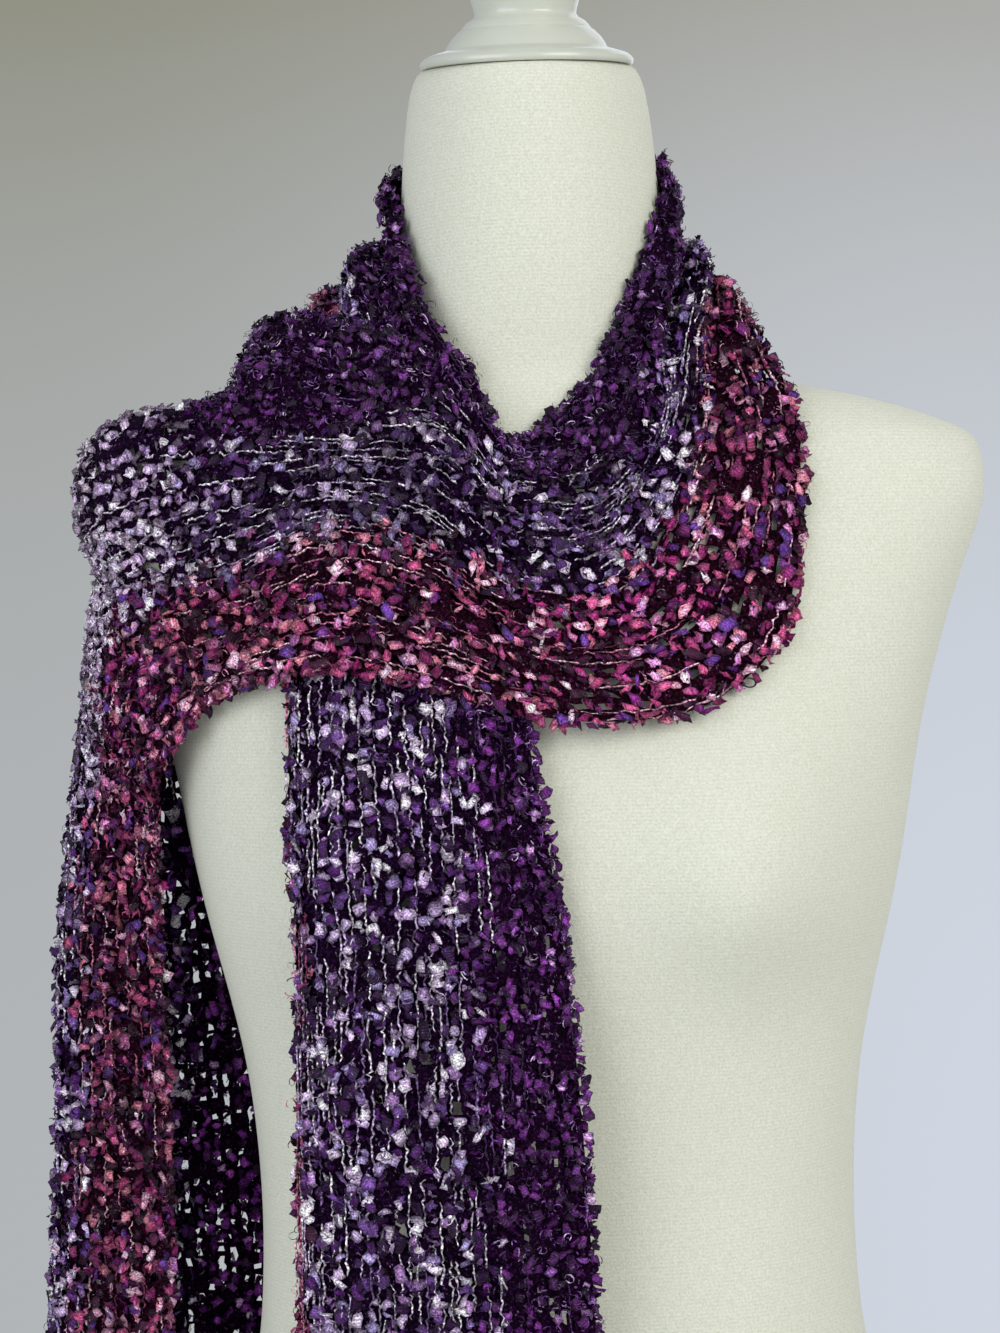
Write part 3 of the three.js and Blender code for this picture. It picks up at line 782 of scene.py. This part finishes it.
# The dark ground: wales of binder yarn with open slits between them, tied here and there
net = {
    "wales": 34,
    "band": (0, 0.28, 0.56),  # a wale's two sides and its ridge, as shares of the wale's pitch
    "stitch": 2.5,
    "ridge": 0.7,
    "roughness": 0.45,
    "tied": 0.3,  # the share of the stitches that cross a slit
    "runTurns": (0.55, 0.23),  # slits open in runs: two waves along a wale, in radians a stitch
    "runMiddle": 0.5,
    "runDepth": 0.25,
    "runNoise": 0.2,
    "lights": (0.6, 1.4),
    # how much of the slits is open, in the plum zone and in the others
    "open": {
        "front_tail": (0.1, 0.18), "neck_left": (0.04, 0.12), "neck_back": (0.1, 0.2),
        "neck_right": (0.06, 0.25), "chest_turn": (0.15, 0.4), "chest_band": (0.08, 0.25),
        "shoulder_cover": (0.3, 0.42), "side_tail": (0.5, 0.3),
    },
}

# Loose places, where the knit has opened and the form shows: how many in a stretch, and how big
loose = {
    "count": {"shoulder_cover": 80, "chest_turn": 50, "neck_right": 8, "chest_band": 8, "side_tail": 40,
              "front_tail": 14},
    "radius": (1.2, 2.7),
    "across": (0.05, 0.95),
    "seed": 900,
}


def loosePlaces(name, start, end):
    chance = np.random.default_rng(loose["seed"] + stretchNames.index(name))
    count = loose["count"].get(name, 0)
    radius = chance.uniform(*loose["radius"], count)
    return chance.uniform(start, end, count), chance.uniform(*loose["across"], count), radius


def inLoose(along, across, places):
    if not len(places[0]):
        return np.zeros(len(along), bool)
    beside = np.hypot(along[:, None] - places[0], (across[:, None] - places[1]) * strip["width"])
    return (beside < places[2]).any(axis=1)


def netPiece(name, start, end, chance):
    each = len(net["band"])
    columns = net["wales"] * each
    rows = round((end - start) / net["stitch"])
    bpy.ops.object.select_all(action="DESELECT")
    bpy.ops.mesh.primitive_grid_add(x_subdivisions=columns, y_subdivisions=rows, size=1)
    piece = bpy.context.object
    piece.name = name + "_net"
    k = np.arange(columns + 1)
    across = (k // each + np.array(net["band"])[k % each]) / net["wales"]
    across = across / across[-1]
    along = np.linspace(start, end, rows + 1)
    s, v = np.meshgrid(along, across, indexing="ij")
    inside = (v > 0) & (v < 1)
    s = s + chance.normal(0, net["roughness"], s.shape) * ((s > start) & (s < end))
    v = v + chance.normal(0, net["roughness"] / strip["width"], v.shape) * inside
    place, up, over, out = onCloth(s, v)
    rise = chance.normal(0, net["roughness"], s.shape) + net["ridge"] * (k % each == 1)
    place = place + out * rise[..., None]
    piece.data.vertices.foreach_set("co", (place * mm).astype(np.float32).ravel())
    zones = zoneOf(s.ravel(), v.ravel(), chance)
    tints = np.array([linear(netColours[zone])[:3] for zone in zoneNames])[zones]
    giveTint(piece.data, tints * chance.uniform(*net["lights"], (len(tints), 1)))
    # each face is kept or left open, and the strip's edges stay whole
    row, column = np.divmod(np.arange(rows * columns), columns)
    starts = chance.uniform(0, 2 * math.pi, (2, net["wales"]))[:, column // each]
    waves = np.sin(row * np.array(net["runTurns"])[:, None] + starts)
    run = net["runMiddle"] + net["runDepth"] * waves.sum(axis=0)
    middleAlong = start + (row + 0.5) / rows * (end - start)
    middleAcross = (column + 0.5) / columns
    share = np.where(middleAcross < strip["plumLine"], *net["open"][name])
    tied = chance.random(len(row)) < net["tied"]
    gap = (column % each == each - 1) & ~tied & (run + chance.normal(0, net["runNoise"], len(row)) < share)
    gap |= inLoose(middleAlong, middleAcross, loosePlaces(name, start, end)) & (column % each != 0)
    gap &= (row > 0) & (row < rows - 1) & (column >= each) & (column < columns - each)
    setMode("EDIT")
    bpy.ops.mesh.select_mode(type="FACE")
    bpy.ops.mesh.select_all(action="DESELECT")
    setMode("OBJECT")
    piece.data.polygons.foreach_set("select", gap)
    setMode("EDIT")
    bpy.ops.mesh.delete(type="ONLY_FACE")
    bpy.ops.mesh.select_all(action="SELECT")
    bpy.ops.mesh.delete_loose()
    setMode("OBJECT")
    bpy.ops.object.shade_smooth()
    piece.data.materials.append(binder)
    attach(piece, "root")
    return piece


# Flags: small soft tabs held between two wales, rounded, bent, crumpled and tilted
flag = {
    "grid": (4, 4),  # points along and across one tab
    "long": (3.2, 7.6),
    "wide": (3.2, 6.2),
    "round": 0.2,
    "edgeShade": 0.42,  # a tab's edges are painted darker than its middle, as shade
    # a tab's middle is painted lighter, as light
    "middle": 1.45,
    "creaseShade": 0.45,
    "lights": (0.75, 1.25),
    "twoTone": 0.35,  # the share of the tabs that turn from one colour to another
    "pitch": 4.6,
    "crowd": 2.4,  # tries for each flag, so that stretched places get theirs
    "onWale": 0.78,
    "offWale": 0.18,
    "probe": 2,  # how far along and across the strip's stretch is taken
    "probeAcross": 0.02,
    "spreadPower": 0.75,
    "closer": {"shoulder_cover": 2.05, "side_tail": 1.15, "chest_turn": 1.1, "neck_left": 1.2},
    "bend": (20, 110),
    "yaw": 36,
    "tilt": 24,
    "standing": 0.16,
    "standYaw": (-90, 90),
    "standTilt": (50, 95),
    "height": (0.8, 3.0),
    "innerHeight": (-2.4, -0.9),
    "innerShare": 0.45,
    "crumple": (0.34, 0.34, 0.6),
    "edgePitch": 2.3,
    "edgeOut": (-0.8, 2.8),
    "edgeRise": 1,
    # how much lighter or darker the plum, the lavender and the rose flags are drawn in some stretches, as a
    # factor on their colour
    "pale": {
        "plum": {"front_tail": 1.05, "neck_left": 0.55, "neck_right": 0.7, "chest_turn": 0.7,
                 "chest_band": 0.6, "shoulder_cover": 1.4, "side_tail": 1.2},
        "lavender": {"front_tail": 0.88, "neck_left": 0.7, "neck_right": 0.9, "chest_turn": 0.8,
                     "chest_band": 0.54, "shoulder_cover": 1.7},
        "rose": {"neck_left": 0.8, "neck_right": 0.95, "chest_turn": 1.25, "chest_band": 0.85,
                 "shoulder_cover": 0.95, "side_tail": 0.78},
    },
    # the tabs on the cloth's inner face are painted this much lighter: painted light where the inside lies in
    # shade
    "innerPaintedLight": {"side_tail": 2.6},
    "faded": {"shoulder_cover": 0.5},  # how far the lavender yarn is washed out to a greyer mauve
    "fadedTo": "#a89aa6",
    "lower": {"shoulder_cover": 1.3},  # millimetres by which the flags lie flatter
    "plumSize": 0.84,
}


def turned(vectors, axis, angle):
    axis = axis[:, None, :]
    cosine = np.cos(angle)[:, None, None]
    sine = np.sin(angle)[:, None, None]
    along = (vectors * axis).sum(axis=-1, keepdims=True) * axis
    return vectors * cosine + np.cross(axis, vectors) * sine + along * (1 - cosine)


def flagTabs(along, across, height, outward, size, chance):
    count = len(along)
    rows, columns = flag["grid"]
    place, up, over, out = onCloth(along, across)
    place = place + out * height[:, None] + over * outward[:, None]
    longSide = (chance.uniform(*flag["long"], count) * size)[:, None, None]
    wideSide = (chance.uniform(*flag["wide"], count) * size)[:, None, None]
    u = np.linspace(-1, 1, rows)[None, :, None]
    w = np.linspace(-1, 1, columns)[None, None, :]
    a = u * np.sqrt(1 - flag["round"] * w ** 2) * longSide / 2
    b = w * np.sqrt(1 - flag["round"] * u ** 2) * wideSide / 2
    bend = np.radians(chance.uniform(*flag["bend"], count)) * chance.choice([-1, 1], count)
    radius = wideSide / bend[:, None, None]
    local = np.stack([a, radius * np.sin(b / radius), radius * (1 - np.cos(b / radius))], axis=-1)
    local = local.reshape(count, rows * columns, 3)
    crumple = chance.normal(0, 1, local.shape) * np.array(flag["crumple"])
    local = local + crumple
    shape = local @ np.stack([up, over, out], axis=1)
    standing = chance.random(count) < flag["standing"]
    yaw = chance.normal(0, flag["yaw"], count) + standing * chance.uniform(*flag["standYaw"], count)
    tilt = chance.normal(0, flag["tilt"], count) + standing * chance.uniform(*flag["standTilt"], count)
    lean = chance.normal(0, flag["tilt"], count)
    for axis, angle in ((over, lean), (up, tilt), (out, yaw)):
        shape = turned(shape, axis, np.radians(angle))
    points = (place[:, None] + shape).reshape(-1, 3)
    uv = np.stack([a, b], axis=-1).reshape(-1, 2)
    return points, uv, crumple[..., 2].ravel()


def flagPiece(name, start, end, chance):
    length = end - start
    rows = round(length / flag["pitch"] * flag["crowd"])
    wales = net["wales"]
    s = (np.arange(rows)[:, None] + chance.random((rows, wales))) * length / rows + start
    v = (np.arange(wales)[None] + flag["onWale"] + chance.normal(0, flag["offWale"], (rows, wales))) / wales
    s, v = s.ravel(), np.clip(v.ravel(), 0, 1)
    # fewer where the strip is drawn together, more where it is stretched
    probe = flag["probe"]
    left, right = (np.clip(v + turn * flag["probeAcross"], 0, 1) for turn in (-1, 1))
    ahead = (onCloth(s + probe, v)[0] - onCloth(s - probe, v)[0]) / (2 * probe)
    aside = (onCloth(s, right)[0] - onCloth(s, left)[0]) / ((right - left) * strip["width"])[:, None]
    spread = np.linalg.norm(np.cross(ahead, aside), axis=-1) ** flag["spreadPower"]
    kept = chance.random(s.size) < spread * alongStrip(flag["closer"], 1, s) / flag["crowd"]
    kept &= ~inLoose(s, v, loosePlaces(name, start, end))
    s, v = s[kept], v[kept]
    height = chance.uniform(*flag["height"], s.size) - alongStrip(flag["lower"], 0, s)
    outward = np.zeros(s.size)
    inner = chance.random(s.size) < flag["innerShare"]
    innerHeight = chance.uniform(*flag["innerHeight"], inner.sum())
    found = joined((s, v, height, outward), (s[inner], v[inner], innerHeight, outward[inner]))
    count = round(length / flag["edgePitch"])
    for side in (0, 1):
        edgeAlong = start + (np.arange(count) + chance.random(count)) * length / count
        edgeHeight = chance.normal(0, flag["edgeRise"], count)
        edgeOut = chance.uniform(*flag["edgeOut"], count) * (2 * side - 1)
        found = joined(found, (edgeAlong, np.full(count, float(side)), edgeHeight, edgeOut))
    s, v, height, outward = found
    zones = zoneOf(s, v, chance)
    size = np.where(zones == 0, flag["plumSize"], 1)
    points, uv, crumple = flagTabs(s, v, height, outward, size, chance)
    each = flag["grid"][0] * flag["grid"][1]
    first = drawColours(yarnColours, zones, chance)
    second = drawColours(yarnColours, zones, chance)
    second = np.where((chance.random(len(s)) < flag["twoTone"])[:, None], second, first)
    wash = np.where(zones == 1, alongStrip(flag["faded"], 0, s), 0)[:, None]
    washTo = np.array(linear(flag["fadedTo"])[:3])
    first, second = (tint * (1 - wash) + wash * washTo for tint in (first, second))
    mix = np.tile(np.linspace(0, 1, each), len(s))[:, None]
    tints = np.repeat(first, each, axis=0) * (1 - mix) + np.repeat(second, each, axis=0) * mix
    pale = np.stack([alongStrip(flag["pale"][zone], 1, s) for zone in zoneNames])[zones, np.arange(len(s))]
    light = dye(s, v) * pale * chance.uniform(*flag["lights"], len(s))
    # painted light on the inner tabs, which lie in shade
    light *= np.where(height < flag["innerHeight"][1], flag["innerPaintedLight"].get(name, 1), 1)
    # painted shade at each tab's rim and painted light in its middle, times painted light and shade where the
    # crumple rises and dips
    rim = np.full(flag["grid"], flag["edgeShade"])
    rim[1:-1, 1:-1] = flag["middle"]
    soft = np.tile(rim.ravel(), len(s)) * np.exp(flag["creaseShade"] * crumple)
    tints = tints * (np.repeat(light, each) * soft)[:, None]
    faces = gridFaces(len(s), *flag["grid"])
    return newPiece(name + "_flags", points, faces, tints, uv, tabSatin)


# Threads: light carrier threads that surface on the wales in runs, crinkled and uneven
thread = {
    "step": 1.4,
    "radius": 0.5,
    "sides": 3,
    "leastSteps": 3,
    "onWale": 0.28,
    "slip": 0.3,
    "jog": 0.38,  # sideways, beside a slow drift
    "drift": 0.08,
    "height": (1.0, 2.0),
    "bob": 0.3,
    "thickness": (0.55, 1.6),
    "tip": 0.5,
    # brightness of each ring of a thread: painted light and shade for the twist's beads
    "lights": (0.15, 1.35),
    "run": (8, 44),
    "rest": (2, 12),
    "leastRun": 6,
    # how many of the wales carry a thread, by zone, and what share of those in some stretches
    "zones": (0.2, 0.95, 0.85),
    "fewer": {"shoulder_cover": 0.12, "side_tail": 0.7, "neck_left": 0.4, "neck_back": 0.5,
              "neck_right": 0.35, "chest_turn": 0.4, "chest_band": 0.85},
    "second": 0.4,  # the share of wales that carry one more thread beside the first
}
# Loops of the binder that have worked loose: stretch, share of its length, place across
looseLoops = [
    ("neck_right", 0.04, 0.05), ("chest_turn", 0.52, 1), ("chest_band", 0.06, 1), ("chest_band", 0.84, 0),
]
loop = {"radius": 2.4, "thick": 0.45, "steps": 16, "open": 0.5, "tint": "#2a0f33"}


# Adds a round strand along a path, as points, faces, colours and yarn coordinates
def addStrand(strands, path, aside, above, radius, colours):
    sides = thread["sides"]
    count = len(path)
    angles = 2 * math.pi * np.arange(sides) / sides + math.pi / 2
    away = aside[:, None] * np.cos(angles)[None, :, None] + above[:, None] * np.sin(angles)[None, :, None]
    points = (path[:, None] + away * radius[:, None, None]).reshape(-1, 3)
    i = np.arange(count - 1)[:, None] * sides + sum(len(part) for part in strands["points"])
    k = np.arange(sides)[None]
    n = (k + 1) % sides
    strands["faces"].append(np.stack([i + k, i + n, i + sides + n, i + sides + k], axis=-1).reshape(-1, 4))
    strands["points"].append(points)
    strands["tints"].append(np.repeat(colours, sides, axis=0))
    length = np.concatenate([[0], np.linalg.norm(np.diff(path, axis=0), axis=1).cumsum()])
    strands["uvs"].append(np.stack([np.repeat(length, sides), np.zeros(count * sides)], axis=1))


def addLoop(strands, along, across):
    steps = loop["steps"]
    place, up, over, out = onCloth(np.array([along]), np.array([float(across)]))
    side = over * (1 if across > 0.5 else -1)
    angle = np.linspace(loop["open"], 2 * math.pi - loop["open"], steps)[:, None]
    around = np.sin(angle) * up - np.cos(angle) * side
    path = place + side * loop["radius"] + out + around * loop["radius"]
    tints = np.tile(linear(loop["tint"])[:3], (steps, 1))
    addStrand(strands, path, around, np.repeat(out, steps, axis=0), np.full(steps, loop["thick"]), tints)


def threadPiece(name, start, end, chance):
    strands = {"points": [], "faces": [], "tints": [], "uvs": []}
    for line in range(net["wales"] * 2):
        middle = (line / 2 + thread["onWale"]) / net["wales"]
        share = thread["fewer"].get(name, 1) * (thread["second"] if line % 2 else 1)
        at = start + chance.uniform(0, thread["rest"][1])
        while at < end - thread["leastRun"]:
            stop = min(end, at + chance.uniform(*thread["run"]))
            zone = zoneOf(np.array([(at + stop) / 2]), np.array([middle]), chance)
            count = max(thread["leastSteps"], round((stop - at) / thread["step"]) + 1)
            if chance.random() < thread["zones"][zone[0]] * share:
                s = np.linspace(at, stop, count) + chance.normal(0, thread["slip"], count)
                wander = np.cumsum(chance.normal(0, thread["drift"], count))
                wander += chance.normal(0, thread["jog"], count)
                place, up, over, out = onCloth(s, np.clip(middle + wander / strip["width"], 0, 1))
                height = chance.uniform(*thread["height"]) + chance.normal(0, thread["bob"], count)
                radius = thread["radius"] * chance.uniform(*thread["thickness"], count)
                radius[[0, -1]] *= thread["tip"]
                # each ring gets its own brightness: painted light and shade that stand for the twist's beads
                light = chance.uniform(*thread["lights"], (count, 1))
                tints = drawColours(threadColours, zone, chance) * light
                addStrand(strands, place + out * height[:, None], over, out, radius, tints)
            at = stop + chance.uniform(*thread["rest"])
    for stretch, share, across in looseLoops:
        if stretch == name:
            addLoop(strands, start + share * (end - start), across)
    parts = [np.concatenate(strands[key]) for key in ("points", "faces", "tints", "uvs")]
    return newPiece(name + "_threads", *parts, threadTwist)


# Curls: stray crimped filaments that stand off the knit, thickest in the plum zone and at the edges
curl = {
    "points": 7,
    "radius": (0.8, 2.2),
    "turn": (120, 330),
    "width": 0.46,
    "each": 19,  # square millimetres of plum knit for each curl
    "otherShare": 0.6,
    "edgePitch": 2.4,
    "edgeOut": (0, 1.6),
    "outer": 0.8,  # the share on the outer side of the cloth
    "lean": 0.6,
    "twist": 0.7,
    "lights": (0.6, 1.4),
    "height": (0.6, 2.4),
    "flatter": {"shoulder_cover": 0.3, "side_tail": 0.6},
}


def curlPiece(name, start, end, chance):
    length = end - start
    count = round(length * strip["width"] / curl["each"])
    s = chance.uniform(start, end, count)
    v = chance.random(count)
    kept = (zoneOf(s, v, chance) == 0) | (chance.random(count) < curl["otherShare"])
    s, v = s[kept], v[kept]
    outward = np.zeros(len(s))
    edges = round(length / curl["edgePitch"])
    for side in (0, 1):
        edgeAlong = chance.uniform(start, end, edges)
        edgeOut = chance.uniform(*curl["edgeOut"], edges) * (2 * side - 1)
        s, v, outward = joined((s, v, outward), (edgeAlong, np.full(edges, float(side)), edgeOut))
    count = len(s)
    place, up, over, out = onCloth(s, v)
    face = np.where(chance.random(count) < curl["outer"], 1, -1)[:, None]
    height = chance.uniform(*curl["height"], (count, 1)) * curl["flatter"].get(name, 1)
    place = place + out * face * height + over * outward[:, None]
    heading = chance.uniform(0, 2 * math.pi, count)[:, None]
    run = up * np.cos(heading) + over * np.sin(heading)
    rise = unit(out * face * curl["lean"] + np.cross(out, run) * chance.normal(0, 1, (count, 1)))
    across = unit(np.cross(run, rise))
    radius = chance.uniform(*curl["radius"], count)[:, None, None]
    turn = np.radians(chance.uniform(*curl["turn"], count))[:, None]
    angle = (np.linspace(0, 1, curl["points"])[None] * turn - math.pi / 2)[..., None]
    line = place[:, None] + radius * (np.cos(angle) * run[:, None] + (np.sin(angle) + 1) * rise[:, None])
    side = unit(across + out * face * chance.normal(0, curl["twist"], (count, 1)))
    half = (side * curl["width"] / 2)[:, None]
    pair = np.stack([line - half, line + half], axis=2).reshape(-1, 3)
    tints = np.repeat(drawColours(curlColours, zoneOf(s, v, chance), chance), curl["points"] * 2, axis=0)
    tints = tints * chance.uniform(*curl["lights"], (len(tints), 1))
    steps = np.tile(np.repeat(np.arange(curl["points"]), 2), count)
    uv = np.stack([steps, np.tile([0, curl["width"]], count * curl["points"])], axis=1)
    faces = gridFaces(count, curl["points"], 2)
    return newPiece(name + "_curls", pair, faces, tints, uv.astype(float), filament)


firstSeed = 400
for order, name in enumerate(stretchNames):
    chance = np.random.default_rng(firstSeed + order)
    start, end = stretchSpan(name)
    knit = netPiece(name, start, end, chance)
    trims = [maker(name, start, end, chance) for maker in (flagPiece, threadPiece, curlPiece)]
    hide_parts("scarf_" + name)
    print("stage:", name, "made,", round(end - start), "mm long")
